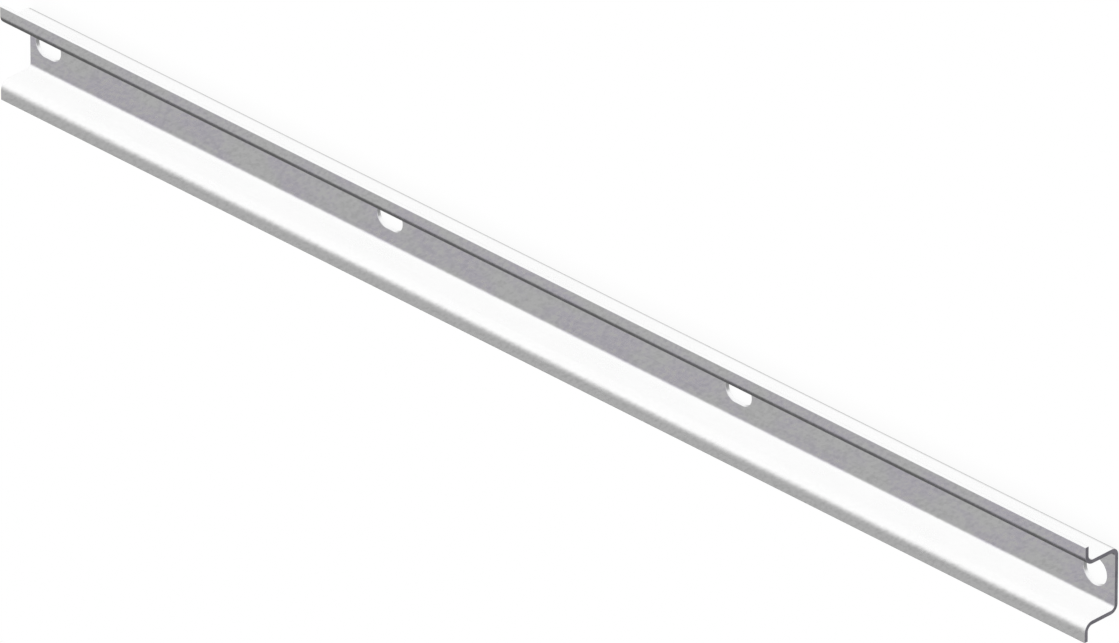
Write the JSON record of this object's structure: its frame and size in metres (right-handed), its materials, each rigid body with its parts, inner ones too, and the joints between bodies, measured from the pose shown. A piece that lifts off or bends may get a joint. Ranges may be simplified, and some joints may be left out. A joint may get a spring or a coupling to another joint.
{
  "type": "din rail",
  "caption": "Deep top-hat section steel mounting rail with outward lips that clip-on devices grip, and slots and a round hole in its web to fix it by.",
  "frame": {"origin": "middle of the web's back face, which is the face that lies on the floor or on the mounting plate", "axes": "+X along the rail towards the end with the round hole, +Y across the rail from lip to lip, +Z from the web's back face out to the front of the lips"},
  "size_m": [0.493, 0.035, 0.015],
  "materials": {
    "zinc_plated_steel": "satin zinc plate with faint rolling marks along the length"
  },
  "bodies": {
    "root": {"rail": "zinc_plated_steel"}
  },
  "joints": []
}
